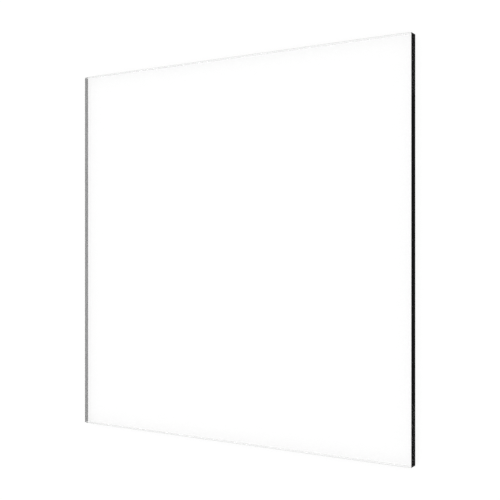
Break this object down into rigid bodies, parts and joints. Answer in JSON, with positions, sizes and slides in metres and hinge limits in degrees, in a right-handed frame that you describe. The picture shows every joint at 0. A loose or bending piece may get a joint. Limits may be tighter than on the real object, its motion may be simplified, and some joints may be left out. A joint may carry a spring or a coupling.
{
  "type": "clear acrylic sheet",
  "caption": "Flat square sheet of clear cast acrylic with glass-smooth faces and polished square edges, for glazing, guards, shelves and covers.",
  "frame": {"origin": "centre of the underside, the face that the sheet lies on", "axes": "+Z up, square to both faces and out of the top face; +X and +Y along the cut sides. In the picture +X points to the right, towards the near edge, and +Y up."},
  "size_m": [0.25, 0.25, 0.006],
  "materials": {
    "clear_acrylic": "polished"
  },
  "bodies": {
    "root": {"acrylic_sheet": "clear_acrylic"}
  },
  "joints": []
}
